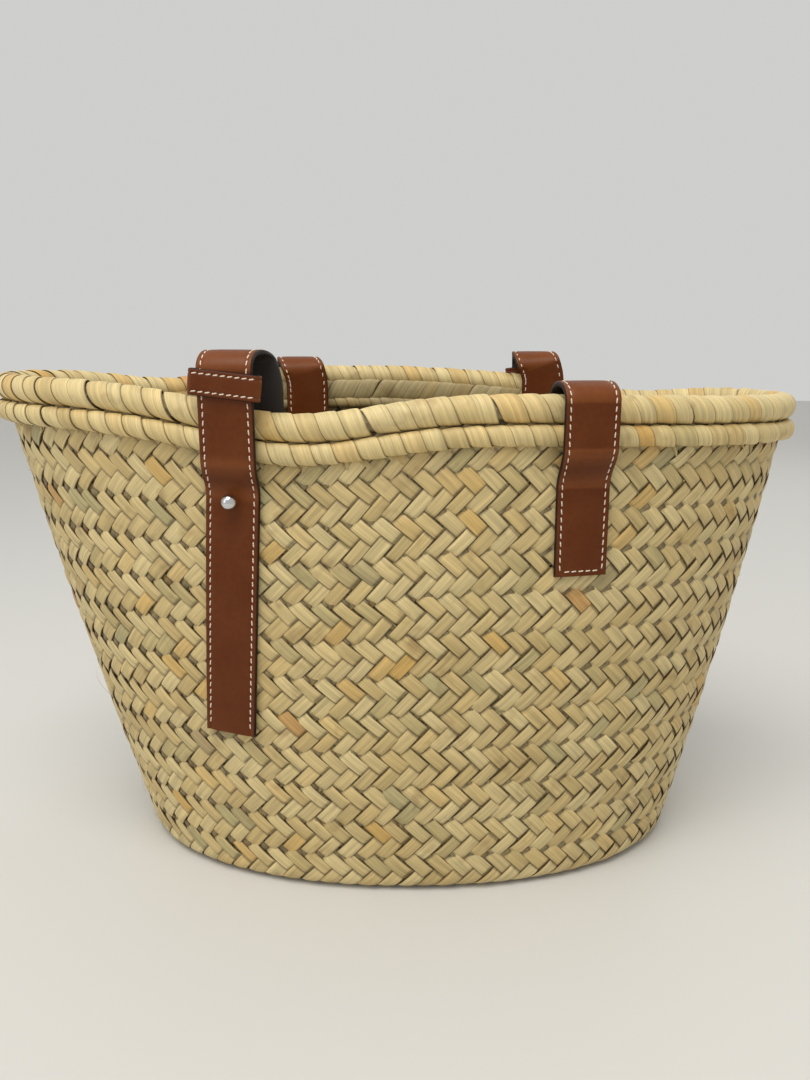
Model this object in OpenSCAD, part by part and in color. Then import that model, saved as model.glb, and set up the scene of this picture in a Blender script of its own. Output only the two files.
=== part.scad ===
// Plaited palm-leaf beach bag: oval basket with a wrapped rim and two leather
// handles. Each handle has one end sewn to the wall and one adjustable end with
// a keeper and a ball stud. Origin at the bottom centre, front wall towards -Y.

/* [Basket] */
// Overall width across the rim coil
rim_w = 550; // [440:5:660]
// Overall depth across the rim coil
rim_d = 246; // [200:2:300]
// Mean height of the top of the rim coil
bag_h = 322; // [270:2:390]
// Width of the base
base_w = 378; // [310:2:454]
// Depth of the base
base_d = 235; // [200:2:290]
// How far the base sits to the right of the rim
base_shift = 9; // [0:1:20]
// Squareness of the oval, 2 is an ellipse
oval_power = 2.15; // [2:0.05:2.6]
// Thickness of the plait at the seams
wall_t = 5; // [3:0.5:7]
// Outward swell of each turn of plait
course_swell = 2; // [0:0.5:4]
// Outward belly of the wall at mid height
belly = 3; // [0:1:10]
// Thickness of the floor plait
floor_t = 5; // [3:0.5:8]

/* [Rim] */
// Diameter of the wrapped coil on top of the rim
top_coil_d = 17; // [15:1:22]
// Height of the lower wrapped coil
low_coil_h = 12; // [10:1:16]
// Depth of the lower wrapped coil
low_coil_t = 9; // [7:1:11]
// Overhang of the top coil beyond the wall
coil_overhang = 9; // [8:0.5:11]
// Thickness of the leaf wrapped around each core
wrap_t = 2; // [1:0.5:3]
// Height difference between the left and right ends of the rim, halved
rim_tilt = 7; // [0:1:12]
// Depth of the dip in the front rim
front_dip = 15; // [0:1:18]
// Distance of the dip from the middle, to the left
dip_x = 60; // [20:5:100]
// Width of the dip
dip_w = 70; // [50:5:100]
// Rise of the back rim in its middle
back_hump = 7; // [0:1:10]
// Width of that rise
hump_w = 120; // [80:5:150]
// Sag of the back rim to the left and right of the rise
back_sag = 7; // [0:1:10]
// Distance of the sags from the middle
sag_x = 185; // [150:5:190]
// Width of each sag
sag_w = 45; // [30:5:50]

/* [Handles] */
// Width of the leather strap
strap_w = 33; // [27:1:40]
// Thickness of the outer leather
leather_t = 2.2; // [1.5:0.1:3]
// Thickness of the dark lining
lining_t = 1; // [0.6:0.1:1.6]
// Distance of the front handle's adjustable end from the middle of the bag
adjust_x = 94; // [85:1:110]
// Distance of the front handle's fixed end from the middle of the bag
fixed_x = 111; // [95:1:120]
// Distance of the back handle's adjustable end from the middle of the bag
back_adjust_x = 110; // [90:1:115]
// Distance of the back handle's fixed end from the middle of the bag
back_fixed_x = 82; // [75:1:105]
// Outer half width of the folds over the rim
fold_r = 16; // [15.5:0.5:20]
// Rise of the arch of the folds
fold_h = 11; // [10:0.5:14]
// Height of the front adjustable fold above the rim coil
high_fold = 32; // [24:1:38]
// Height of the back adjustable fold above the rim coil
back_high_fold = 19; // [18:1:38]
// Height of the fixed folds above the rim coil
low_fold = 8; // [6:1:12]
// How far the handle loop hangs below its legs
loop_drop = 165; // [120:5:170]
// Length of the fixed end below the rim
fixed_len = 108; // [90:2:136]
// Length of the adjustable tail below the rim
tail_len = 205; // [160:5:250]
// How far the end of the tail leans away from the middle of the bag
tail_lean = 9; // [0:1:14]
// Width of the keeper loop
keeper_w = 43; // [40:1:52]
// Height of the keeper loop
keeper_h = 15; // [12:0.5:18]
// Depth of the stud below the rim
stud_drop = 55; // [50:1:72]
// Diameter of the ball of the stud
ball_d = 9.5; // [8:0.5:12]

/* [Hidden] */
COURSES = 12;
FLOOR_RINGS = 5;
AROUND = 48;
RIM_AROUND = 60;
LOOP_STEPS = 30;
TAIL_STEP = 12;
seam_gap = 0.6;
clear = 0.5;
hinge_gap = 0.05;
swell_from = 0.3;
swell_to = 0.7;
coil_seat = 0.3 + course_swell / 2;
floor_inset = 2 * wall_t;
top_r = top_coil_d / 2;
strap_t = leather_t + lining_t;
rim_a = rim_w / 2 - top_r;
rim_b = rim_d / 2 - top_r;
wall_top_drop = top_coil_d + seam_gap;
low_coil_z = wall_top_drop + seam_gap + low_coil_h / 2;
coil_foot = low_coil_z + low_coil_h / 2;
loop_leg_z = bag_h - front_dip - rim_tilt;
fold_margin = 5;
settle_over = 8;
settle_margin = 1;
loop_in = max(0, strap_w / 2 - 14);
post_d = 4;
screw_d = 3;
washer_d = 16;
washer_t = 2;
neck_len = 1.8;
ball_sink = 1;
head_h = 1.5;
split_drop = 9;
keeper_front = 2.2;
keeper_back = 1.2;
keeper_play = 0.4;
keeper_gap = 0.8;

WALL_NAMES = ["wall_plait_01", "wall_plait_02", "wall_plait_03", "wall_plait_04",
              "wall_plait_05", "wall_plait_06", "wall_plait_07", "wall_plait_08",
              "wall_plait_09", "wall_plait_10", "wall_plait_11", "wall_plait_12"];
FLOOR_NAMES = ["floor_plait_1", "floor_plait_2", "floor_plait_3", "floor_plait_4", "floor_plait_5"];

palm = "#cdb878";
tan = "#7a3f1c";
dark = "#1a1413";
steel = "#d8d8dc";

// A point of a unit superellipse at angle t
function oval(t) = [sign(cos(t)) * pow(abs(cos(t)), 2 / oval_power),
                    sign(sin(t)) * pow(abs(sin(t)), 2 / oval_power)];
// Half depth of a superellipse with half axes a and b at distance x from its middle
function oval_y(a, b, x) = b * pow(1 - pow(abs(x) / a, oval_power), 1 / oval_power);
// Slope angle of that oval at x, positive where the oval turns away from the middle
function oval_turn(a, b, x) = atan2(oval_y(a, b, x - 1) - oval_y(a, b, x + 1), 2);

// Height of the top of the rim coil above the ground, front is the side with y < 0
function rim_top(x, front) = bag_h - rim_tilt * x / rim_a
    + (front ? -front_dip * exp(-pow((x + dip_x) / dip_w, 2))
        : back_hump * exp(-pow(x / hump_w, 2)) - back_sag * exp(-pow((abs(x) - sag_x) / sag_w, 2)));

// The wall's outer face at the share s of its height: half axes and middle
function wall_a(s) = base_w / 2 + (rim_w / 2 - coil_overhang - base_w / 2) * s + belly * 4 * s * (1 - s);
function wall_b(s) = base_d / 2 + (rim_d / 2 - coil_overhang - base_d / 2) * s + belly * 4 * s * (1 - s);
function wall_x(s) = base_shift * (1 - s);

// A point of the wall at share s of the height, angle t, moved outwards by off
function wall_point(s, t, off) =
    let(u = oval(t), x = (rim_a * u[0]), top = rim_top(x, sin(t) < 0) - wall_top_drop)
    [wall_x(s) + (wall_a(s) + off) * u[0], (wall_b(s) + off) * u[1], s * top];

// A closed tube of faces: rings of m points each, joined end to end when loop is true.
// The first side of each ring is split along the other diagonal, so that two sweeps
// that share a face share its triangles.
function side_faces(i, k, j, m) =
    let(p = i * m + j, q = i * m + (j + 1) % m, r = k * m + (j + 1) % m, s = k * m + j)
    j == 0 ? [[p, q, s], [q, r, s]] : [[p, q, r], [p, r, s]];
function tube_faces(n, m, loop) =
    [for (i = [0 : n - (loop ? 1 : 2)]) for (j = [0 : m - 1]) each side_faces(i, (i + 1) % n, j, m)];
module sweep_loop(rings) {
    m = len(rings[0]);
    polyhedron([for (r = rings) each r], tube_faces(len(rings), m, true), convexity = 6);
}
module sweep_open(rings) {
    m = len(rings[0]);
    n = len(rings);
    first_cap = [for (j = [m - 1 : -1 : 0]) j];
    last_cap = [for (j = [0 : m - 1]) (n - 1) * m + j];
    polyhedron([for (r = rings) each r], concat(tube_faces(n, m, false), [first_cap, last_cap]),
               convexity = 6);
}

// One turn of the wall plait, from seam to seam. The top turn is set in behind the
// lower coil and the bottom turn curls under towards the floor.
module wall_course(k) {
    low = k / COURSES;
    high = (k + 1) / COURSES;
    tuck = k == 0 ? wall_t : 0;
    high_swell = k == COURSES - 1 ? -coil_seat : course_swell;
    color(palm)
    sweep_loop([for (i = [0 : AROUND - 1]) let(t = -i * 360 / AROUND) [
        wall_point(high, t, -wall_t),
        wall_point(high, t, 0),
        wall_point(low + swell_to * (high - low), t, high_swell),
        wall_point(low + swell_from * (high - low), t, course_swell),
        wall_point(low, t, -tuck),
        wall_point(low, t, -wall_t - tuck)]]);
}

// One turn of the floor plait, the last one is the solid middle strip
module floor_ring(k) {
    step = (base_d / 2 - floor_inset) / FLOOR_RINGS;
    outer = floor_inset + k * step;
    inner = outer + step;
    color(palm) linear_extrude(floor_t) difference() {
        floor_outline(outer);
        if (k < FLOOR_RINGS - 1) floor_outline(inner);
    }
}
module floor_outline(inset)
    polygon([for (i = [0 : AROUND - 1]) let(u = oval(i * 360 / AROUND))
        [base_shift + (base_w / 2 - inset) * u[0], (base_d / 2 - inset) * u[1]]]);

// A wrapped coil of the rim: an oval section that follows the rim
module rim_ring(out, drop, half_t, half_h, sides)
    sweep_loop([for (i = [0 : RIM_AROUND - 1]) let(t = i * 360 / RIM_AROUND, u = oval(t))
        [for (j = [0 : sides - 1]) let(g = j * 360 / sides, r = out + half_t * cos(g))
            [(rim_a + r) * u[0], (rim_b + r) * u[1],
             rim_top(rim_a * u[0], sin(t) < 0) - drop + half_h * sin(g)]]]);
module wrapped_coil(out, drop, half_t, half_h)
    color(palm) difference() {
        rim_ring(out, drop, half_t, half_h, 10);
        rim_ring(out, drop, half_t - wrap_t, half_h - wrap_t, 8);
    }
module coil_core(out, drop, half_t, half_h)
    color(palm) rim_ring(out, drop, half_t - wrap_t, half_h - wrap_t, 8);
low_coil_out = top_r - coil_overhang + seam_gap + low_coil_t / 2;
module rim_coil_top() wrapped_coil(0, top_r, top_r, top_r);
module rim_core_top() coil_core(0, top_r, top_r, top_r);
module rim_coil_lower() wrapped_coil(low_coil_out, low_coil_z, low_coil_t / 2, low_coil_h / 2);
module rim_core_lower() coil_core(low_coil_out, low_coil_z, low_coil_t / 2, low_coil_h / 2);

// Straps are drawn for the front, with the adjustable end at -X and the wall's
// outside towards -Y. The back handle is the same one turned half a turn about Z,
// and takes its heights from the rim and the wall on its own side.
function own_x(x, front) = front ? x : -x;
function end_x(side, front) = side < 0 ? -(front ? adjust_x : back_adjust_x)
    : (front ? fixed_x : back_fixed_x);
function span(front) = (end_x(1, front) - end_x(-1, front)) / 2;
function mid_x(front) = (end_x(1, front) + end_x(-1, front)) / 2;
function turn(front) = oval_turn(rim_a, rim_b, span(front));
function rim_y(front) = oval_y(rim_a, rim_b, span(front));
function end_top(side, front) = rim_top(own_x(end_x(side, front), front), front);
function high_z(front) = end_top(-1, front) + (front ? high_fold : back_high_fold) - fold_h;
function low_z(front) = end_top(1, front) + low_fold - fold_h;
function fold_slope(front) = (low_z(front) - high_z(front)) / (2 * span(front));
function fold_z(x, front) = (low_z(front) + high_z(front)) / 2 + fold_slope(front) * (x - mid_x(front));
function fold_tilt(front) = atan(fold_slope(front));

// Outward direction of a strap turned by the angle a away from the middle, side = -1 or 1
function outward(side, a) = [side * sin(a), -cos(a), 0];
function along(side, a) = [cos(a), side * sin(a), 0];

module on_side(front) rotate(front ? 0 : 180) children();

// One ply of a fold: an arch over the rim with short legs, cut off at the fold plane.
// near and far are the depths of its two faces below the outer face of the fold.
module fold_ply(side, front, near, far)
    on_side(front) difference() {
        translate([end_x(side, front), -rim_y(front), side < 0 ? high_z(front) : low_z(front)])
            rotate(side * turn(front)) rotate([90, 0, 90])
                linear_extrude(strap_w, center = true) difference() {
                    arch(fold_r - near, fold_h - near);
                    arch(fold_r - far, fold_h - far);
                }
        below_fold_plane(front);
    }
module arch(half, rise) {
    scale([1, rise / half]) circle(r = half, $fn = 64);
    translate([-half, -strap_w]) square([2 * half, strap_w]);
}
module below_fold_plane(front) {
    reach = 2 * rim_w;
    translate([0, 0, fold_z(0, front)]) rotate([0, -fold_tilt(front), 0])
        translate([-reach / 2, -reach / 2, -reach]) cube(reach);
}
module fold_leather(side, front) color(tan) fold_ply(side, front, 0, leather_t);
module fold_lining(side, front) color(dark) fold_ply(side, front, leather_t, strap_t);

// Four corners of a strap section: p on the leather face, n out of the leather, w along the width
function section(p, w, n, near, far) = [
    p + w * strap_w / 2 - n * near,
    p - w * strap_w / 2 - n * near,
    p - w * strap_w / 2 - n * far,
    p + w * strap_w / 2 - n * far];
// The same ring moved up to just under the plane where the folds begin
function on_fold_plane(ring, front) = [for (q = ring) [q[0], q[1], fold_z(q[0], front) - hinge_gap]];

// The handle loop hangs inside: v runs from 0 at the adjustable leg to 1 at the fixed leg
function loop_spot(v, front) = [
    mid_x(front) - span(front) * cos(180 * v),
    -rim_y(front) + fold_r * cos(turn(front)) + loop_in * sin(180 * v),
    loop_leg_z - loop_drop * sin(180 * v)];
function loop_dir(v, front) =
    let(x = span(front) * sin(180 * v), z = -loop_drop * cos(180 * v), m = norm([x, z])) [x / m, 0, z / m];
function loop_face(v, front) =
    let(t = loop_dir(v, front), a = turn(front) * (1 - 2 * v), f = 90 * pow(sin(180 * v), 2))
    [sin(a) * cos(f), cos(a) * cos(f), 0] + sin(f) * [t[2], 0, -t[0]];
function loop_ring(v, front, near, far) =
    let(t = loop_dir(v, front), w = cross(t, loop_face(v, front)), w1 = w / norm(w), n = cross(w1, t),
        lean = fold_r * sin(turn(front)) * cos(180 * v))
    section(loop_spot(v, front) + [lean, 0, 0], w1, n, near, far);
module loop_ply(front, near, far) {
    rings = [for (i = [0 : LOOP_STEPS]) loop_ring(i / LOOP_STEPS, front, near, far)];
    on_side(front) sweep_open(concat(
        [on_fold_plane(rings[0], front)], rings, [on_fold_plane(rings[LOOP_STEPS], front)]));
}
module handle_strap(front) color(tan) loop_ply(front, 0, leather_t);
module handle_lining(front) color(dark) loop_ply(front, leather_t, strap_t);

// Outer legs: upright past the coils, then in to the wall, then down along it
function wall_share(x, z, front) = z / (rim_top(own_x(x, front), front) - wall_top_drop);
function leg_wall_y(x, z, front) = let(s = wall_share(x, z, front))
    oval_y(wall_a(s), wall_b(s), own_x(x, front) - wall_x(s));
function leg_wall_turn(x, z, front) = let(s = wall_share(x, z, front))
    abs(oval_turn(wall_a(s), wall_b(s), abs(own_x(x, front) - wall_x(s))));
function ease(u) = let(v = min(1, max(0, u))) v * v * (3 - 2 * v);
function settle(x, z, front) = let(top = rim_top(own_x(x, front), front))
    ease((top - coil_foot - z) / (stud_drop - coil_foot - settle_margin));
function leg_top_z(side, front) = end_top(side, front) + low_fold - fold_h - fold_margin;
function fixed_end_z(front) = end_top(1, front) - fixed_len;
function tail_end_z(front) = end_top(-1, front) - tail_len;
function stud_z(front) = end_top(-1, front) - stud_drop;
function split_z(front) = stud_z(front) - split_drop;
function leg_x(side, z, front) = side > 0 ? end_x(1, front) : let(top = end_top(-1, front) - coil_foot)
    end_x(-1, front) - tail_lean * max(0, top - z) / (top - tail_end_z(front));
function leg_turn(x, z, front) = let(k = settle(x, z, front))
    (1 - k) * turn(front) + k * leg_wall_turn(x, min(z, stud_z(front)), front);
function leg_spot(side, z, front) =
    let(x = leg_x(side, z, front), k = settle(x, z, front), a = leg_turn(x, z, front),
        free = [x, -rim_y(front), z] + outward(side, turn(front)) * fold_r,
        laid = [x, -leg_wall_y(x, min(z, stud_z(front) + settle_over), front), z]
            + outward(side, a) * (course_swell + clear + strap_t))
    (1 - k) * free + k * laid;
function leg_ring(side, z, front, near, far) = let(a = leg_turn(leg_x(side, z, front), z, front))
    section(leg_spot(side, z, front), -along(side, a), outward(side, a), near, far);

// One ply of an outer leg from z_top down to z_low, hinged under a fold or not
module leg_ply(side, front, z_top, z_low, near, far, hinged = true) {
    steps = max(2, ceil((z_top - z_low) / TAIL_STEP));
    rings = [for (i = [0 : steps]) leg_ring(side, z_top - (z_top - z_low) * i / steps, front, near, far)];
    on_side(front) sweep_open(concat(hinged ? [on_fold_plane(rings[0], front)] : [], rings));
}
module fixed_end_ply(front, near, far) leg_ply(1, front, leg_top_z(1, front), fixed_end_z(front), near, far);
module tail_upper_ply(front, near, far) difference() {
    leg_ply(-1, front, leg_top_z(-1, front), split_z(front), near, far);
    at_stud(front) translate([0, 0, -3 * strap_t])
        cylinder(d = post_d + 2 * clear, h = 6 * strap_t, $fn = 32);
}
module tail_ply(front, near, far) leg_ply(-1, front, split_z(front), tail_end_z(front), near, far, false);

module fixed_end(front) color(tan) fixed_end_ply(front, 0, leather_t);
module fixed_end_lining(front) color(dark) fixed_end_ply(front, leather_t, strap_t);
module tail_upper(front) color(tan) tail_upper_ply(front, 0, leather_t);
module tail_upper_lining(front) color(dark) tail_upper_ply(front, leather_t, strap_t);
module tail(front) color(tan) tail_ply(front, 0, leather_t);
module tail_lining(front) color(dark) tail_ply(front, leather_t, strap_t);

// Places children on the tail's face at the stud, +Z pointing out of the leather
module at_stud(front) on_side(front)
    translate(leg_spot(-1, stud_z(front), front))
        rotate(-leg_turn(leg_x(-1, stud_z(front), front), stud_z(front), front))
            rotate([90, 0, 0]) children();
back_depth = strap_t + clear + course_swell + wall_t;
washer_z = -back_depth - 2 * washer_t;
module stud(front) color(steel) at_stud(front) {
    post_top = neck_len + ball_d / 2 - ball_sink;
    translate([0, 0, post_top]) sphere(d = ball_d, $fn = 40);
    translate([0, 0, -strap_t]) cylinder(d = post_d, h = strap_t + post_top, $fn = 32);
}
module stud_screw(front) color(steel) at_stud(front) {
    translate([0, 0, washer_z]) cylinder(d = screw_d, h = -washer_z - strap_t, $fn = 32);
    translate([0, 0, washer_z - head_h]) cylinder(d = 3 * screw_d, h = head_h, $fn = 32);
}
module stud_washer(front) color(tan) at_stud(front) translate([0, 0, washer_z]) difference() {
    cylinder(d = washer_d, h = washer_t, $fn = 48);
    translate([0, 0, -1]) cylinder(d = screw_d + 0.2, h = washer_t + 2, $fn = 32);
}

// Keeper: a leather loop around the tail's upright stretch, just under the high fold
keeper_drop = keeper_gap + keeper_h;
module keeper(front) color(tan) on_side(front)
    translate([end_x(-1, front), -rim_y(front), high_z(front) - keeper_drop]) rotate(-turn(front))
        translate([0, -fold_r, 0]) difference() {
            translate([-keeper_w / 2, -keeper_play - keeper_front, 0])
                cube([keeper_w, keeper_front + strap_t + 2 * keeper_play + keeper_back, keeper_h]);
            translate([-strap_w / 2 - 2 * keeper_play, -keeper_play, -1])
                cube([strap_w + 4 * keeper_play, strap_t + 2 * keeper_play, keeper_h + 2]);
        }

for (k = [0 : FLOOR_RINGS - 1]) floor_ring(k);
for (k = [0 : COURSES - 1]) wall_course(k);
rim_core_top();
rim_coil_top();
rim_core_lower();
rim_coil_lower();
handle_strap(true);  // front_handle_strap
handle_lining(true);  // front_handle_lining
fold_leather(1, true);  // front_fixed_fold
fold_lining(1, true);  // front_fixed_fold_lining
fold_leather(-1, true);  // front_adjust_fold
fold_lining(-1, true);  // front_adjust_fold_lining
fixed_end(true);  // front_fixed_end
fixed_end_lining(true);  // front_fixed_end_lining
tail_upper(true);  // front_tail_upper
tail_upper_lining(true);  // front_tail_upper_lining
tail(true);  // front_tail
tail_lining(true);  // front_tail_lining
keeper(true);  // front_keeper
stud(true);  // front_stud
stud_screw(true);  // front_stud_screw
stud_washer(true);  // front_stud_washer
handle_strap(false);  // back_handle_strap
handle_lining(false);  // back_handle_lining
fold_leather(1, false);  // back_fixed_fold
fold_lining(1, false);  // back_fixed_fold_lining
fold_leather(-1, false);  // back_adjust_fold
fold_lining(-1, false);  // back_adjust_fold_lining
fixed_end(false);  // back_fixed_end
fixed_end_lining(false);  // back_fixed_end_lining
tail_upper(false);  // back_tail_upper
tail_upper_lining(false);  // back_tail_upper_lining
tail(false);  // back_tail
tail_lining(false);  // back_tail_lining
keeper(false);  // back_keeper
stud(false);  // back_stud
stud_screw(false);  // back_stud_screw
stud_washer(false);  // back_stud_washer
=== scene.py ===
import bpy
import math
import numpy as np
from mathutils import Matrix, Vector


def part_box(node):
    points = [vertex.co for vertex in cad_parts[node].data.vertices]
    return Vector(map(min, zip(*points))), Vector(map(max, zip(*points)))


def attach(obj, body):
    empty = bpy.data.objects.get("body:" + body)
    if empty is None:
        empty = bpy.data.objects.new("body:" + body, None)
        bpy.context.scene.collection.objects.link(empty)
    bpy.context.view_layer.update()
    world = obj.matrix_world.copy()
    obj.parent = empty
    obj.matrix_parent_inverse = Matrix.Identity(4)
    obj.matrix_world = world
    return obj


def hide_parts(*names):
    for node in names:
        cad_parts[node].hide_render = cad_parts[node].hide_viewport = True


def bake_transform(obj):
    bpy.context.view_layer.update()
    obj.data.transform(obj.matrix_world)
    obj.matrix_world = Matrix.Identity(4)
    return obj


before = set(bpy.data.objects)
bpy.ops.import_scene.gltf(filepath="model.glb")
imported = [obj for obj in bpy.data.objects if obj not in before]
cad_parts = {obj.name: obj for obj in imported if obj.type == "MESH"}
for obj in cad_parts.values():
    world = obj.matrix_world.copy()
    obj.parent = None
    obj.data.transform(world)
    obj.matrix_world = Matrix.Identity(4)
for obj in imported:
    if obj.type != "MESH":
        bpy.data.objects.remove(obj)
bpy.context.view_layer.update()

mm = 0.001


# view, floor and light
view = {
    "focalPerHeight": 880 / 1080,   # focal length over picture height
    "place": (0.006, -0.627, 0.351),
    "pitchDown": 12.9,
    "floorHex": "#D3D2CE",
    "worldHex": "#DDDDDB",
    "worldStrength": 0.86,
}


def toLinear(hexColour):
    values = [int(hexColour[i:i + 2], 16) / 255 for i in (1, 3, 5)]
    return [v / 12.92 if v <= 0.04045 else ((v + 0.055) / 1.055) ** 2.4 for v in values] + [1.0]


def addNode(material, kind, settings=None, links=None):
    tree = material.node_tree
    node = tree.nodes.new(kind)
    for key, value in (settings or {}).items():
        if isinstance(key, int) or key in node.inputs:
            node.inputs[key].default_value = value
        else:
            setattr(node, key, value)
    for key, source in (links or {}).items():
        tree.links.new(source, node.inputs[key])
    return node


def newMaterial(name, roughness, metallic=0.0, ior=None):
    material = bpy.data.materials.new(name)
    material.use_nodes = True
    shader = material.node_tree.nodes["Principled BSDF"]
    shader.inputs["Roughness"].default_value = roughness
    shader.inputs["Metallic"].default_value = metallic
    if ior:
        shader.inputs["IOR"].default_value = ior
    return material, shader


def makeCamera():
    data = bpy.data.cameras.new("camera")
    data.sensor_fit = "VERTICAL"
    data.sensor_height = 24
    data.lens = 24 * view["focalPerHeight"]
    camera = bpy.data.objects.new("camera", data)
    camera.location = view["place"]
    camera.rotation_euler = (math.radians(90 - view["pitchDown"]), 0, 0)
    bpy.context.scene.collection.objects.link(camera)
    bpy.context.scene.camera = camera


def addArea(name, place, target, size, power, hexColour):
    data = bpy.data.lights.new(name, "AREA")
    data.shape = "RECTANGLE"
    data.size, data.size_y = size
    data.energy = power
    data.color = toLinear(hexColour)[:3]
    light = bpy.data.objects.new(name, data)
    light.location = place
    direction = np.array(target) - np.array(place)
    light.rotation_euler = (math.atan2(math.hypot(direction[0], direction[1]), -direction[2]),
                            0, math.atan2(direction[1], direction[0]) - math.pi / 2)
    bpy.context.scene.collection.objects.link(light)


def makeStage():
    scene = bpy.context.scene
    scene.view_settings.view_transform = "Standard"
    world = bpy.data.worlds.new("soft room")
    scene.world = world
    world.use_nodes = True
    background = world.node_tree.nodes["Background"]
    background.inputs[0].default_value = toLinear(view["worldHex"])
    background.inputs[1].default_value = view["worldStrength"]
    bpy.ops.mesh.primitive_plane_add(size=9, location=(0, 0, 0))
    floor = bpy.context.object
    floor.name = "floor"
    material, shader = newMaterial("pale matt floor", 0.55)
    shader.inputs["Base Color"].default_value = toLinear(view["floorHex"])
    floor.data.materials.append(material)
    addArea("ceiling light", (-0.35, -0.75, 1.9), (0, 0, 0.15), (1.2, 1.2), 24, "#FFFBF5")
    addArea("window fill", (-1.8, -1.2, 1.0), (0, 0, 0.2), (1.2, 1.6), 6, "#F6F8FF")
    addArea("far fill", (1.4, 1.3, 1.4), (0, 0, 0.2), (1.4, 1.4), 5, "#FFFCF6")


makeCamera()
makeStage()
print("stage and camera ready")


# the basket's surfaces, in metres
rimLow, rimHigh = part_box("rim_coil_top")
baseLow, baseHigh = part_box("floor_plait_1")
basket = {
    "ovalPower": 2.15,      # squareness of the plan
    "height": 322 * mm,     # mean height of the rim
    "coil": 17 * mm,        # thickness of the top coil
    "overhang": 9 * mm,     # top coil beyond the wall
    "belly": 3 * mm,
    "tilt": 7 * mm,         # the left end of the rim stands higher
    "dip": 15 * mm,         # sag of the front rim beside the adjustable strap
    "dipX": 60 * mm,
    "dipWidth": 70 * mm,
    "hump": 7 * mm,         # rise of the back rim in its middle
    "humpWidth": 120 * mm,
    "sag": 7 * mm,          # sag of the back rim left and right of the rise
    "sagX": 185 * mm,
    "sagWidth": 45 * mm,
    "floorInset": 10 * mm,
    "courses": 12,
    "floorTurns": 5,
}
rimA = (rimHigh[0] - rimLow[0]) / 2 - basket["coil"] / 2
rimB = (rimHigh[1] - rimLow[1]) / 2 - basket["coil"] / 2
baseA = (baseHigh[0] - baseLow[0]) / 2 + basket["floorInset"]
baseB = (baseHigh[1] - baseLow[1]) / 2 + basket["floorInset"]
baseShift = (baseHigh[0] + baseLow[0]) / 2
wallDrop = basket["coil"] + 0.6 * mm
coilFoot = 30.2 * mm            # foot of the lower coil under the top of the rim


def signedPower(value, power):
    return np.sign(value) * np.abs(value) ** power


def ovalUnit(t):
    return signedPower(np.cos(t), 2 / basket["ovalPower"]), signedPower(np.sin(t), 2 / basket["ovalPower"])


def ovalDepth(a, b, x):
    return b * (1 - np.abs(x / a) ** basket["ovalPower"]) ** (1 / basket["ovalPower"])


def rimTop(x, front):
    dip = basket["dip"] * np.exp(-((x + basket["dipX"]) / basket["dipWidth"]) ** 2)
    hump = basket["hump"] * np.exp(-(x / basket["humpWidth"]) ** 2)
    sag = basket["sag"] * np.exp(-((np.abs(x) - basket["sagX"]) / basket["sagWidth"]) ** 2)
    return basket["height"] - basket["tilt"] * x / rimA + np.where(front, -dip, hump - sag)


def swell(share):
    return basket["belly"] * 4 * share * (1 - share)


def wallAxes(share):
    a = baseA + (rimA + basket["coil"] / 2 - basket["overhang"] - baseA) * share + swell(share)
    b = baseB + (rimB + basket["coil"] / 2 - basket["overhang"] - baseB) * share + swell(share)
    return a, b, baseShift * (1 - share)


def wallPoint(share, t, off):
    ux, uy = ovalUnit(t)
    a, b, shift = wallAxes(share)
    z = share * (rimTop(rimA * ux, np.sin(t) < 0) - wallDrop)
    return np.stack([shift + (a + off) * ux, (b + off) * uy, z], -1)


def aroundTable(pointOf):
    # turns a share of the way round into the oval's angle, starting in the middle of the front
    t = np.linspace(-np.pi / 2, 1.5 * np.pi, 2001)
    points = pointOf(t)
    steps = np.linalg.norm(np.diff(points, axis=0), axis=1)
    run = np.concatenate([[0], np.cumsum(steps)])
    return t, run / run[-1], run[-1]


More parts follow.
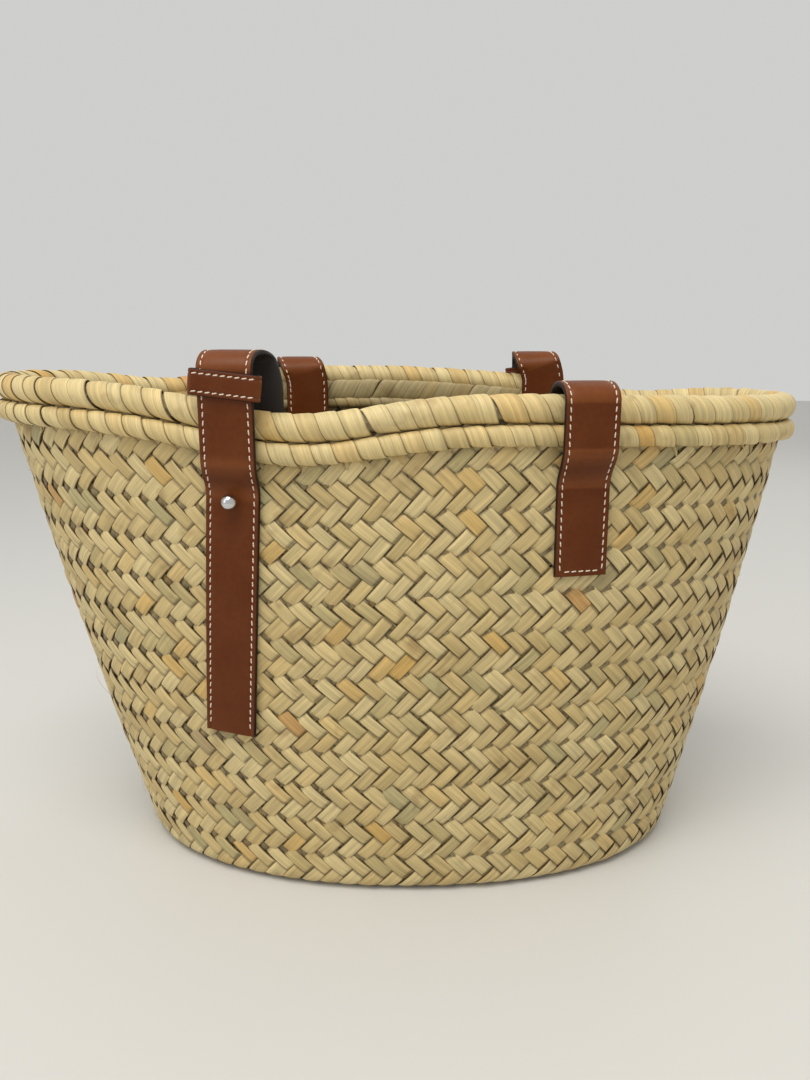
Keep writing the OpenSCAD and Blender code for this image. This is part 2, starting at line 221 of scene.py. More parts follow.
# mesh from a block of sections: pieces, rings, points, xyz
def makeMesh(name, block, material, attributes=None, sharpAngle=50, closedRun=False):
    pieces, rings, points = block.shape[:3]
    ringNext = np.arange(rings if closedRun else rings - 1)
    r, c = np.meshgrid(ringNext, np.arange(points), indexing="ij")
    r2, c2 = (r + 1) % rings, (c + 1) % points
    quads = np.stack([r * points + c, r * points + c2, r2 * points + c2, r2 * points + c], -1).reshape(-1, 4)
    start = np.arange(pieces) * rings * points
    allQuads = (quads[None] + start[:, None, None]).reshape(-1)
    sizes = np.full(len(allQuads) // 4, 4)
    corners = [allQuads]
    if not closedRun:
        first = np.arange(points)[::-1]
        last = np.arange(points) + (rings - 1) * points
        caps = (np.stack([first, last])[None] + start[:, None, None]).reshape(-1)
        corners.append(caps)
        sizes = np.concatenate([sizes, np.full(2 * pieces, points)])
    corners = np.concatenate(corners)
    flat = block.reshape(-1, 3)
    mesh = bpy.data.meshes.new(name)
    mesh.vertices.add(len(flat))
    mesh.vertices.foreach_set("co", flat.astype(np.float32).ravel())
    mesh.loops.add(len(corners))
    mesh.loops.foreach_set("vertex_index", corners.astype(np.int32))
    mesh.polygons.add(len(sizes))
    mesh.polygons.foreach_set("loop_start", np.concatenate([[0], np.cumsum(sizes)[:-1]]).astype(np.int32))
    mesh.update(calc_edges=True)
    one = block[0]
    centre = one.reshape(-1, 3).mean(0)
    q = one.reshape(-1, 3)[quads] - centre
    volume = (np.cross(q[:, 0], q[:, 1]) * q[:, 2]).sum() + (np.cross(q[:, 0], q[:, 2]) * q[:, 3]).sum()
    if volume < 0:
        mesh.flip_normals()
    mesh.polygons.foreach_set("use_smooth", np.ones(len(sizes), bool))
    mesh.set_sharp_from_angle(angle=math.radians(sharpAngle))
    for key, values in (attributes or {}).items():
        kind = "FLOAT_VECTOR" if values.ndim == 4 else "FLOAT"
        attribute = mesh.attributes.new(key, kind, "POINT")
        field = "vector" if values.ndim == 4 else "value"
        attribute.data.foreach_set(field, values.astype(np.float32).ravel())
    mesh.materials.append(material)
    piece = bpy.data.objects.new(name, mesh)
    bpy.context.scene.collection.objects.link(piece)
    return piece


# palm leaf
palm = {
    "paleHex": "#D9C58F",
    "strawHex": "#CAB076",
    "goldHex": "#D0A95F",
    "greenHex": "#B9AC7A",
    "greyHex": "#AF9A6E",
    "rustHex": "#C4975F",
    "brownHex": "#8C6A3C",
    "edgeHex": "#4A3418",
    # painted shade colour for where strips tuck under their neighbours
    "tuckShadeHex": "#2E1D0D",
    "fibreSpacing": 0.55 * mm,   # drawn coarser than the real 0.2 mm veins so that they show
    "fibreLength": 24 * mm,
    "stainSize": 16 * mm,
    "roughness": 0.52,
}


# dried date-palm leaf, split and plaited: a waxy skin with long parallel veins, so each
# strip shows fine streaks, a soft shine along them and its own tone from straw to olive
def makePalm(name, shade=1.0):
    material, shader = newMaterial(name, palm["roughness"], ior=1.45)
    tone = addNode(material, "ShaderNodeAttribute", {"attribute_name": "leafTone"})
    grain = addNode(material, "ShaderNodeAttribute", {"attribute_name": "leafGrain"})
    tuckShade = addNode(material, "ShaderNodeAttribute", {"attribute_name": "leafTuckShade"})
    edge = addNode(material, "ShaderNodeAttribute", {"attribute_name": "leafEdge"})
    stretch = addNode(material, "ShaderNodeMapping", {
        "Scale": (1 / palm["fibreLength"], 1 / palm["fibreSpacing"], 1.0)},
        {"Vector": grain.outputs["Vector"]})
    fibres = addNode(material, "ShaderNodeTexNoise", {"Scale": 1.0, "Detail": 3.0, "Roughness": 0.6},
                     {"Vector": stretch.outputs[0]})
    wide = addNode(material, "ShaderNodeMapping", {
        "Scale": (0.5 / palm["fibreLength"], 0.22 / palm["fibreSpacing"], 1.7)},
        {"Vector": grain.outputs["Vector"]})
    bands = addNode(material, "ShaderNodeTexNoise", {"Scale": 1.0, "Detail": 2.0},
                    {"Vector": wide.outputs[0]})
    colours = addNode(material, "ShaderNodeValToRGB", {}, {"Fac": tone.outputs["Fac"]})
    ramp = colours.color_ramp
    ramp.interpolation = "LINEAR"
    stops = [(0.0, "greyHex"), (0.2, "greenHex"), (0.4, "strawHex"), (0.66, "paleHex"), (0.9, "goldHex"),
             (1.0, "rustHex")]
    while len(ramp.elements) < len(stops):
        ramp.elements.new(0.5)
    for element, (place, key) in zip(ramp.elements, stops):
        element.position = place
        element.color = toLinear(palm[key])
    spots = addNode(material, "ShaderNodeTexCoord")
    stain = addNode(material, "ShaderNodeTexNoise", {"Scale": 1 / palm["stainSize"], "Detail": 2.0},
                    {"Vector": spots.outputs["Object"]})
    stainMask = addNode(material, "ShaderNodeMapRange", {"From Min": 0.60, "From Max": 0.78, "To Max": 0.5},
                        {"Value": stain.outputs[0]})
    stained = addNode(material, "ShaderNodeMix", {"data_type": "RGBA", 7: toLinear(palm["brownHex"])},
                      {0: stainMask.outputs[0], 6: colours.outputs[0]})
    streakValue = addNode(material, "ShaderNodeMapRange", {
        "From Min": 0.3, "From Max": 0.7, "To Min": 0.80 * shade, "To Max": 1.10 * shade},
        {"Value": fibres.outputs[0]})
    bandValue = addNode(material, "ShaderNodeMapRange", {
        "From Min": 0.3, "From Max": 0.7, "To Min": 0.80, "To Max": 1.14}, {"Value": bands.outputs[0]})
    both = addNode(material, "ShaderNodeMath", {"operation": "MULTIPLY"},
                   {0: streakValue.outputs[0], 1: bandValue.outputs[0]})
    streaked = addNode(material, "ShaderNodeVectorMath", {"operation": "SCALE"},
                       {0: stained.outputs[2], "Scale": both.outputs[0]})
    edged = addNode(material, "ShaderNodeMix", {"data_type": "RGBA", 7: toLinear(palm["edgeHex"])},
                    {0: edge.outputs["Fac"], 6: streaked.outputs[0]})
    # painted shade: the leaf is mixed towards dark brown where it tucks under its neighbours
    tuckShaded = addNode(material, "ShaderNodeMix", {"data_type": "RGBA", 7: toLinear(palm["tuckShadeHex"])},
                     {0: tuckShade.outputs["Fac"], 6: edged.outputs[2]})
    bump = addNode(material, "ShaderNodeBump", {"Strength": 0.35, "Distance": 0.25 * mm},
                   {"Height": fibres.outputs[0]})
    rough = addNode(material, "ShaderNodeMapRange", {"To Min": palm["roughness"] - 0.1,
                    "To Max": palm["roughness"] + 0.14}, {"Value": bands.outputs[0]})
    tree = material.node_tree
    tree.links.new(tuckShaded.outputs[2], shader.inputs["Base Color"])
    tree.links.new(rough.outputs[0], shader.inputs["Roughness"])
    tree.links.new(bump.outputs[0], shader.inputs["Normal"])
    return material


palmPlait = makePalm("dried palm leaf, plaited", 0.94)
palmWrap = makePalm("dried palm leaf, wrapped round the rim", 1.04)
# a darker copy of the leaf for the rows sewn inside under the rim: painted shade
palmInnerShaded = makePalm("dried palm leaf, sewn under the rim inside, painted shade", 0.64)


# one turn of herringbone plait
plait = {
    "cell": 12.7 * mm,       # one strip to the next, along the turn
    "cover": 0.98,           # width of a strip over its share
    "lift": 1.05 * mm,       # a strip over or under the middle of the plait
    "crown": 0.38 * mm,
    "thickness": 0.34 * mm,
    "swell": 1.3 * mm,       # a turn stands proud between its seams
    "groove": 0.4 * mm,
    "uneven": 0.16 * mm,     # how much the strips' heights differ
    "twist": 0.3 * mm,       # how much a strip tips to one side
    "stray": 0.45 * mm,      # how far a strip strays along the turn
}
# along a strip in half turns: it shows outside from 0 to 1 and inside from 1 to 2
stripQ = np.array([-.34, -.16, -.06, .02, .1, .2, .34, .5, .66, .8, .9, .98, 1.06, 1.16, 1.3, 1.5, 1.7, 1.84,
                   1.94, 2.02, 2.1, 2.28])
stripLift = np.array([-.85, -.6, -.25, .2, .62, .9, 1.0, 1.02, 1.0, .9, .62, .2, -.25, -.65, -.95, -1.0, -.95,
                      -.7, -.4, 0, .35, .6])
stripC = np.array([-.5, -.44, -.24, 0, .24, .44, .5, .5, 0, -.5])
stripH = np.array([0.0, 0.62, 0.92, 1.0, 0.92, 0.62, 0.0, -0.3, 0.15, -0.3])


def stripBlock(count, rowHeight, length, seed, alwaysInside=False, alwaysOutside=False):
    # strips in the flat: x along the turn, y from the bottom seam up, z out of the plait
    local = np.random.default_rng(seed)
    pitch = length / count
    run = math.hypot(pitch, rowHeight)
    wide = pitch * rowHeight / run * plait["cover"]
    number = np.arange(count)
    jitter = local.normal(0, 1, (4, count, 1, 1))
    q = stripQ[None, :, None]
    c = stripC[None, None, :] * (1 + 0.06 * jitter[0]) + 0.02 * (q - 1) * jitter[3]
    lift = stripLift[None, :, None]
    if alwaysInside:
        lift = np.where(q < 1, -np.abs(lift), lift)
    if alwaysOutside:
        lift = np.where(q > 1, np.abs(lift), lift)
    up = rowHeight * q + c * wide * -pitch / run
    x = pitch * (number[:, None, None] + q) + c * wide * rowHeight / run + plait["stray"] * jitter[1]
    crown = stripH[None, None, :]
    outward = np.sign(np.clip(lift * 8, -1, 1) + 1e-9)
    z = lift * plait["lift"] * (1 + 0.12 * jitter[2])
    z = z + crown * plait["crown"] * outward * np.abs(np.clip(lift * 3, -1, 1))
    z = z + (plait["uneven"] * jitter[3] + plait["twist"] * c * np.roll(jitter[2], 1)) * np.abs(lift)
    top = np.arange(len(stripC)) < 7
    z = z + np.where(top, 1, -1)[None, None, :] * plait["thickness"] * 0.5
    x, up, z = np.broadcast_arrays(x, up, z)
    return x, up, z, wide, run


def turnOffset(v):
    # cross section of a turn: swollen in the middle, pulled in at both seams
    edge = np.clip(np.abs(2 * v - 1), 0, 1.25)
    return plait["swell"] - (plait["swell"] + plait["groove"] - 1.3 * mm) * edge ** 4


def leafData(shape, wide, run, seed):
    local = np.random.default_rng(seed)
    tone = np.clip(local.normal(0.53, 0.15, (shape[0], 1, 1)), 0, 1) * np.ones(shape)
    along = stripQ[None, :, None] * run * np.ones(shape)
    across = stripC[None, None, :] * wide * np.ones(shape)
    number = local.uniform(0, 400, (shape[0], 1, 1)) * np.ones(shape)
    grain = np.stack([along, across, number], -1)
    edge = np.where(np.abs(stripC[None, None, :]) > 0.45, 0.9, 0.0) * np.ones(shape)
    # painted shade where a strip dives under its neighbours
    underShade = np.interp(stripQ, [-.2, 0, .07, .93, 1, 1.07, 1.93, 2.0, 2.2],
                       [.8, .4, 0, 0, .7, 0, 0, .4, .8])
    tuckShade = underShade[None, :, None] * np.ones(shape)
    return {"leafTone": tone, "leafGrain": grain, "leafEdge": edge, "leafTuckShade": tuckShade}


def joinBlocks(blocks, data):
    merged = {key: np.concatenate([d[key] for d in data]) for key in data[0]}
    return np.concatenate(blocks), merged


def placeOnWall(course, x, up, z, length, rowHeight, table, shareTable):
    v = up / (2 * rowHeight)
    share = (course + v) / basket["courses"]
    around = np.interp((x / length) % 1, shareTable, table)
    off = turnOffset(v) + z
    height = share * (basket["height"] - wallDrop)
    bend = 9 * mm
    low = np.clip(bend - height, 0, bend)
    off = off - np.where(height < bend, bend - np.sqrt(np.maximum(bend ** 2 - low ** 2, 0)), 0)
    under = np.minimum(height, 0)
    points = wallPoint(np.maximum(share, 0), around, off + under - 0.4 * mm)
    floorLine = 1.6 * mm
    points[..., 2] = np.maximum(points[..., 2], floorLine + 0.3 * np.where(height < bend, z, 0))
    return points


def makeWall():
    for course in range(basket["courses"]):
        middle = (course + 0.5) / basket["courses"]
        table, shares, length = aroundTable(lambda t: wallPoint(middle, t, 0 * t))
        rowHeight = (basket["height"] - wallDrop) / basket["courses"] / 2
        count = 2 * round(length / plait["cell"] / 2)
        blocks, data = [], []
        for family in (0, 1):
            top = course == basket["courses"] - 1
            x, up, z, wide, run = stripBlock(count, rowHeight, length, 100 * course + family,
                                             alwaysInside=top and family == 0,
                                             alwaysOutside=top and family == 1)
            if family == 0:
                up = 2 * rowHeight - up
            else:
                x = x + length / count / 2
            blocks.append(placeOnWall(course, x, up, z, length, rowHeight, table, shares))
            data.append(leafData(x.shape, wide, run, 900 + 10 * course + family))
        block, merged = joinBlocks(blocks, data)
        name = "wall_turn_%02d" % (course + 1)
        piece = makeMesh(name, block, palmPlait, merged)
        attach(piece, "basket")
        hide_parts("wall_plait_%02d" % (course + 1))


def makeFloor():
    step = (baseB - basket["floorInset"]) / basket["floorTurns"]
    for turn in range(basket["floorTurns"]):
        inset = basket["floorInset"] + step * (turn + 0.5)

        def flatPoint(t, edge=inset):
            ux, uy = ovalUnit(t)
            return np.stack([baseShift + (baseA - edge) * ux, (baseB - edge) * uy, 0 * ux], -1)
        table, shares, length = aroundTable(flatPoint)
        count = round(length / plait["cell"])
        rowHeight = step / 2
        blocks, data = [], []
        for family in (0, 1):
            x, up, z, wide, run = stripBlock(count, rowHeight, length, 3000 + 10 * turn + family)
            if family == 0:
                up = 2 * rowHeight - up
            else:
                x = x + length / count / 2
            around = np.interp((x / length) % 1, shares, table)
            edge = np.minimum(basket["floorInset"] + step * turn + (2 * rowHeight - up), baseB - 0.1 * mm)
            points = flatPoint(around, edge)
            points[..., 2] = 3.0 * mm + 0.7 * z
            blocks.append(points)
            data.append(leafData(x.shape, wide, run, 3900 + 10 * turn + family))
        block, merged = joinBlocks(blocks, data)
        piece = makeMesh("floor_turn_%d" % (turn + 1), block, palmPlait, merged)
        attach(piece, "basket")
        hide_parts("floor_plait_%d" % (turn + 1))


makeWall()
makeFloor()
print("plait woven")


# rim coils
coils = {
    "rim_wrap_top": {"node": "rim_coil_top", "out": 0, "drop": 8.5 * mm, "halfOut": 8.0 * mm,
                     "halfUp": 8.0 * mm, "pitch": 13.0 * mm, "pillow": 0.6 * mm,
                     "shingle": 0.95 * mm, "lean": 1.6,
                     "turnFrom": 262, "turnTo": -118},
    "rim_wrap_lower": {"node": "rim_coil_lower", "out": 4.4 * mm, "drop": 23.8 * mm, "halfOut": 4.1 * mm,
                       "halfUp": 5.6 * mm, "pitch": 12.6 * mm, "pillow": 0.7 * mm, "shingle": 1.0 * mm,
                       "lean": 1.0, "turnFrom": 262, "turnTo": -118},
    "rim_wrap_inner": {"node": "", "out": -7.6 * mm, "drop": 19.0 * mm, "halfOut": 2.0 * mm,
                       "halfUp": 7.4 * mm, "pitch": 13.0 * mm, "pillow": 0.4 * mm, "shingle": 0.5 * mm,
                       "lean": -1.9, "turnFrom": 300, "turnTo": 60},
    "rim_wrap_inner_foot": {"node": "", "out": -7.6 * mm, "drop": 29.4 * mm, "halfOut": 1.9 * mm,
                            "halfUp": 3.2 * mm, "pitch": 9.5 * mm, "pillow": 0.6 * mm, "shingle": 0.5 * mm,
                            "lean": 0.8, "turnFrom": 300, "turnTo": 60},
}


def rimFrame(t):
    # place on the rim's middle line, its height and the direction outward
    ux, uy = ovalUnit(t)
    step = 1e-4
    ax, ay = ovalUnit(t - step)
    bx, by = ovalUnit(t + step)
    tx, ty = rimA * (bx - ax), rimB * (by - ay)
    size = np.hypot(tx, ty)
    x, y = rimA * ux, rimB * uy
    return x, y, rimTop(x, np.sin(t) < 0), ty / size, -tx / size


def makeCoil(name, data):
    table, shares, length = aroundTable(
        lambda t: np.stack([rimA * ovalUnit(t)[0], rimB * ovalUnit(t)[1],
                            rimTop(rimA * ovalUnit(t)[0], np.sin(t) < 0)], -1))
    count = round(length / data["pitch"])
    pitch = length / count
    local = np.random.default_rng(len(name))
    g = np.radians(np.linspace(data["turnFrom"], data["turnTo"], 30))[None, :, None]
    c = np.array([-.5, -.47, -.38, -.16, .1, .32, .44, .5, .5, 0, -.5])[None, None, :]
    h = np.array([-.3, .15, .6, .95, 1.0, .85, .5, -.05, -.5, -.2, -.6])[None, None, :]
    number = np.arange(count)[:, None, None]
    jitter = local.normal(0, 1, (5, count, 1, 1))
    travel = (math.radians(data["turnFrom"]) - g) / (2 * math.pi)
    lean = data["lean"] * (1 + 0.10 * jitter[4])
    width = pitch * 1.16 * (1 + 0.04 * jitter[0])
    x = pitch * number + pitch * lean * travel + c * width + 0.05 * pitch * jitter[1]
    rise = h * data["pillow"] * (1 + 0.2 * jitter[3]) + data["shingle"] * c + 0.1 * mm * jitter[2]
    end = np.clip(np.minimum(travel, travel[:, ::-1]) * 14, 0, 1)
    rise = rise - (1 - end) * 0.9 * mm
    x, rise, gAll = np.broadcast_arrays(x, rise, g + 0 * c)
    t = np.interp((x / length) % 1, shares, table)
    px, py, pz, nx, ny = rimFrame(t)
    out = data["out"] + (data["halfOut"] + rise) * np.cos(gAll)
    up = (data["halfUp"] + rise) * np.sin(gAll) - data["drop"]
    block = np.stack([px + nx * out, py + ny * out, pz + up], -1)
    shape = x.shape
    tone = np.clip(local.normal(0.62, 0.13, (count, 1, 1)), 0, 1) * np.ones(shape)
    around = gAll * data["halfUp"]
    grain = np.stack([around, c * width * np.ones(shape),
                      local.uniform(0, 400, (count, 1, 1)) * np.ones(shape)], -1)
    edge = np.where(np.abs(c) > 0.48, 0.8, 0.0) * np.ones(shape)
    # painted shade along the wrap's edge that slips under the next wrap
    tuckShade = np.where(c < -0.48, 0.7, 0.0) * np.ones(shape)
    # the inner rows take the darker copy of the leaf, painted shade
    piece = makeMesh(name, block, palmWrap if data["node"] else palmInnerShaded,
                     {"leafTone": tone, "leafGrain": grain, "leafEdge": edge, "leafTuckShade": tuckShade})
    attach(piece, "basket")
    if data["node"]:
        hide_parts(data["node"])


for coilName, coilData in coils.items():
    makeCoil(coilName, coilData)


# leaf tips that stick out under the rim, and loose fibres
frays = {
    "tips": 130,
    "tipLength": (4 * mm, 10 * mm),
    "tipWidth": (2 * mm, 5 * mm),
    "fibres": 90,
    "fibreLength": (7 * mm, 26 * mm),
    "fibreRadius": 0.14 * mm,
}


def makeTips():
    # each tip is a flat leaf end lying on the wall, ragged at its foot
    count = frays["tips"]
    local = np.random.default_rng(51)
    t = local.uniform(0, 2 * np.pi, (count, 1, 1))
    length = local.uniform(*frays["tipLength"], (count, 1, 1))
    width = local.uniform(*frays["tipWidth"], (count, 1, 1))
    slant = local.normal(0, 0.5, (count, 1, 1))
    c = np.array([-.5, 0, .5, .5, 0, -.5])[None, None, :]
    side = np.array([1, 1, 1, -1, -1, -1])[None, None, :]
    v = np.linspace(0, 1, 6)[None, :, None]
    narrow = 1 - 0.75 * v ** 2
    along = slant * length * v + c * width * narrow
    up = -length * v + 2 * mm
    raised = 0.2 * mm * side * narrow + local.uniform(0.3, 1.6, (count, 1, 1)) * mm * np.sin(2.4 * v)
    along, up, raised = np.broadcast_arrays(along, up, raised)
    wallTop = basket["height"] - wallDrop
    share = 1 - (coilFoot - wallDrop - up) / wallTop
    points = wallPoint(share, t + along / rimA, basket["overhang"] - 7.5 * mm + raised)
    shape = along.shape
    grain = np.stack([v * length * np.ones(shape), c * width * np.ones(shape),
                      local.uniform(0, 400, (count, 1, 1)) * np.ones(shape)], -1)
    tone = local.uniform(0.2, 0.8, (count, 1, 1)) * np.ones(shape)
    edge = np.clip(v * 1.6 - 1.2, 0, 0.6) * np.ones(shape)
    piece = makeMesh("rim_leaf_tips", points, palmPlait,
                     {"leafTone": tone, "leafGrain": grain, "leafEdge": edge, "leafTuckShade": 0 * tone})
    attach(piece, "basket")


def makeFibres():
    count = frays["fibres"]
    local = np.random.default_rng(52)
    t = local.uniform(0, 2 * np.pi, (count, 1))
    share = local.uniform(0.03, 0.93, (count, 1))
    length = local.uniform(*frays["fibreLength"], (count, 1))
    heading = local.uniform(-np.pi, np.pi, (count, 1))
    curl = local.normal(0, 1.1, (count, 1))
    v = np.linspace(0, 1, 12)[None, :]
    angle = heading + curl * v
    along = length * np.cumsum(np.cos(angle), 1) / 12
    up = length * np.cumsum(np.sin(angle), 1) / 12
    off = 0.8 * mm + length * 0.22 * np.sin(np.pi * v * 0.9) * local.uniform(0.2, 1, (count, 1))
    shareAt = np.clip(share + up / (basket["height"] - wallDrop), 0.02, 0.95)
    middle = wallPoint(shareAt, t + along / rimA, plait["swell"] + off)
    run = np.gradient(middle, axis=1)
    run = run / np.linalg.norm(run, axis=2)[..., None]
    first = np.cross(run, [0.1, 0.2, 0.97])
    first = first / np.linalg.norm(first, axis=2)[..., None]
    second = np.cross(run, first)
    ring = np.linspace(0, 2 * np.pi, 6)[:-1]
    thin = (frays["fibreRadius"] * (1 - 0.7 * v))[..., None, None]
    block = middle[:, :, None] + thin * (first[:, :, None] * np.cos(ring)[:, None]
                                         + second[:, :, None] * np.sin(ring)[:, None])
    shape = block.shape[:3]
    grain = np.stack([v[..., None] * length[..., None] * np.ones(shape), ring * mm * np.ones(shape),
                      0 * np.ones(shape)], -1)
    tone = local.uniform(0.3, 0.8, (count, 1, 1)) * np.ones(shape)
    piece = makeMesh("loose_fibres", block, palmPlait,
                     {"leafTone": tone, "leafGrain": grain, "leafEdge": 0 * tone, "leafTuckShade": 0 * tone})
    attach(piece, "basket")


makeTips()
makeFibres()
print("rim wrapped")


# leather handles
strap = {
    "width": 33 * mm,
    "leather": 2.2 * mm,
    "lining": 1.0 * mm,
    "foldHalf": 16 * mm,     # outer half width of the fold over the rim
    "foldRise": 11 * mm,
    "loopDrop": 165 * mm,
    "loopIn": 2.5 * mm,      # the loop's middle hangs this much further in
    "fixedLength": 108 * mm,
    "tailLength": 205 * mm,
    "tailLean": 9 * mm,
    "studDrop": 55 * mm,
    "stitchInset": 3.0 * mm,
    "stitchPitch": 4.9 * mm,
    "stitchLength": 3.5 * mm,
    "threadRadius": 0.42 * mm,
    "skew": {"front": (9 * mm, 0), "back": (-9 * mm, 7 * mm)},  # inside legs hang nearer the middle
    "hexTan": "#5A2907",
    "hexTanPaleAndSheen": "#7E4620",
    "hexInk": "#1B1310",
    "hexThread": "#E9D8C6",
    "poreSize": 0.45 * mm,
}
allowance = 2.5 * mm         # the strap's back stands this far off the wall's seams


# calf leather, drum dyed and waxed: a smooth semi-matt skin with fine pores, paler clouds
# and painted sheen where it bends, and edges painted almost black
def makeLeather():
    material, shader = newMaterial("tan calf leather, waxed", 0.42, ior=1.5)
    shader.inputs["Specular IOR Level"].default_value = 0.18
    place = addNode(material, "ShaderNodeAttribute", {"attribute_name": "hideGrain"})
    ink = addNode(material, "ShaderNodeAttribute", {"attribute_name": "edgeInk"})
    bend = addNode(material, "ShaderNodeAttribute", {"attribute_name": "hideBendSheen"})
    clouds = addNode(material, "ShaderNodeTexNoise", {"Scale": 1 / (26 * mm), "Detail": 4.0},
                     {"Vector": place.outputs["Vector"]})
    mottle = addNode(material, "ShaderNodeTexNoise", {"Scale": 1 / (3.2 * mm), "Detail": 3.0},
                     {"Vector": place.outputs["Vector"]})
    pores = addNode(material, "ShaderNodeTexVoronoi", {"Scale": 1 / strap["poreSize"]},
                    {"Vector": place.outputs["Vector"]})
    creases = addNode(material, "ShaderNodeTexNoise", {"Scale": 1 / (1.1 * mm), "Detail": 4.0,
                      "Distortion": 0.6}, {"Vector": place.outputs["Vector"]})
    cloudShare = addNode(material, "ShaderNodeMapRange", {"From Min": 0.35, "From Max": 0.75},
                         {"Value": clouds.outputs[0]})
    # the clouds' share is real paler tone; the bend share is painted sheen on folds
    cloudsAndSheen = addNode(material, "ShaderNodeMath", {"operation": "MULTIPLY_ADD", "use_clamp": True, 1: 0.22},
                    {0: cloudShare.outputs[0], 2: bend.outputs["Fac"]})
    tanned = addNode(material, "ShaderNodeMix", {"data_type": "RGBA", 6: toLinear(strap["hexTan"]),
                     7: toLinear(strap["hexTanPaleAndSheen"])}, {0: cloudsAndSheen.outputs[0]})
    mottleValue = addNode(material, "ShaderNodeMapRange", {
        "From Min": 0.3, "From Max": 0.7, "To Min": 0.93, "To Max": 1.05}, {"Value": mottle.outputs[0]})
    varied = addNode(material, "ShaderNodeVectorMath", {"operation": "SCALE"},
                     {0: tanned.outputs[2], "Scale": mottleValue.outputs[0]})
    inked = addNode(material, "ShaderNodeMix", {"data_type": "RGBA", 7: toLinear(strap["hexInk"])},
                    {0: ink.outputs["Fac"], 6: varied.outputs[0]})
    height = addNode(material, "ShaderNodeMath", {"operation": "MULTIPLY_ADD", 1: 0.35},
                     {0: creases.outputs[0], 2: pores.outputs["Distance"]})
    bump = addNode(material, "ShaderNodeBump", {"Strength": 0.16, "Distance": 0.12 * mm},
                   {"Height": height.outputs[0]})
    rough = addNode(material, "ShaderNodeMapRange", {"From Min": 0.3, "From Max": 0.7, "To Min": 0.36,
                    "To Max": 0.50}, {"Value": clouds.outputs[0]})
    tree = material.node_tree
    tree.links.new(inked.outputs[2], shader.inputs["Base Color"])
    tree.links.new(rough.outputs[0], shader.inputs["Roughness"])
    tree.links.new(bump.outputs[0], shader.inputs["Normal"])
    return material


# split-leather lining under black edge paint: matt, faintly napped
def makeLining():
    material, shader = newMaterial("black lining leather", 0.66, ior=1.5)
    place = addNode(material, "ShaderNodeAttribute", {"attribute_name": "hideGrain"})
    nap = addNode(material, "ShaderNodeTexNoise", {"Scale": 1 / (0.5 * mm), "Detail": 4.0},
                  {"Vector": place.outputs["Vector"]})
    clouds = addNode(material, "ShaderNodeTexNoise", {"Scale": 1 / (18 * mm), "Detail": 2.0},
                     {"Vector": place.outputs["Vector"]})
    tone = addNode(material, "ShaderNodeMix", {"data_type": "RGBA", 6: toLinear("#17120F"),
                   7: toLinear("#2A211C")}, {0: clouds.outputs[0]})
    bump = addNode(material, "ShaderNodeBump", {"Strength": 0.25, "Distance": 0.1 * mm},
                   {"Height": nap.outputs[0]})
    material.node_tree.links.new(tone.outputs[2], shader.inputs["Base Color"])
    material.node_tree.links.new(bump.outputs[0], shader.inputs["Normal"])
    return material


# waxed linen thread: cream, three-ply twist seen as fine slanting ridges
def makeThread():
    material, shader = newMaterial("waxed linen thread", 0.5, ior=1.5)
    place = addNode(material, "ShaderNodeAttribute", {"attribute_name": "threadRun"})
    twist = addNode(material, "ShaderNodeTexWave", {"Scale": 1 / (2.6 * mm), "bands_direction": "DIAGONAL",
                    "Distortion": 0.4}, {"Vector": place.outputs["Vector"]})
    tone = addNode(material, "ShaderNodeMix", {"data_type": "RGBA", 6: toLinear("#CDB79E"),
                   7: toLinear(strap["hexThread"])}, {0: twist.outputs[0]})
    bump = addNode(material, "ShaderNodeBump", {"Strength": 0.4, "Distance": 0.12 * mm},
                   {"Height": twist.outputs[0]})
    material.node_tree.links.new(tone.outputs[2], shader.inputs["Base Color"])
    material.node_tree.links.new(bump.outputs[0], shader.inputs["Normal"])
    return material


# polished stainless steel: a mirror with faint wear, so its highlights stay slightly soft
def makeSteel():
    material, shader = newMaterial("polished stainless steel", 0.13, metallic=1.0)
    shader.inputs["Base Color"].default_value = toLinear("#CFCFD1")
    spots = addNode(material, "ShaderNodeTexCoord")
    wear = addNode(material, "ShaderNodeTexNoise", {"Scale": 1 / (1.4 * mm), "Detail": 5.0},
                   {"Vector": spots.outputs["Object"]})
    rough = addNode(material, "ShaderNodeMapRange", {"From Min": 0.35, "From Max": 0.7, "To Min": 0.08,
                    "To Max": 0.2}, {"Value": wear.outputs[0]})
    material.node_tree.links.new(rough.outputs[0], shader.inputs["Roughness"])
    return material


leatherFinish = makeLeather()
liningFinish = makeLining()
threadFinish = makeThread()
steelFinish = makeSteel()


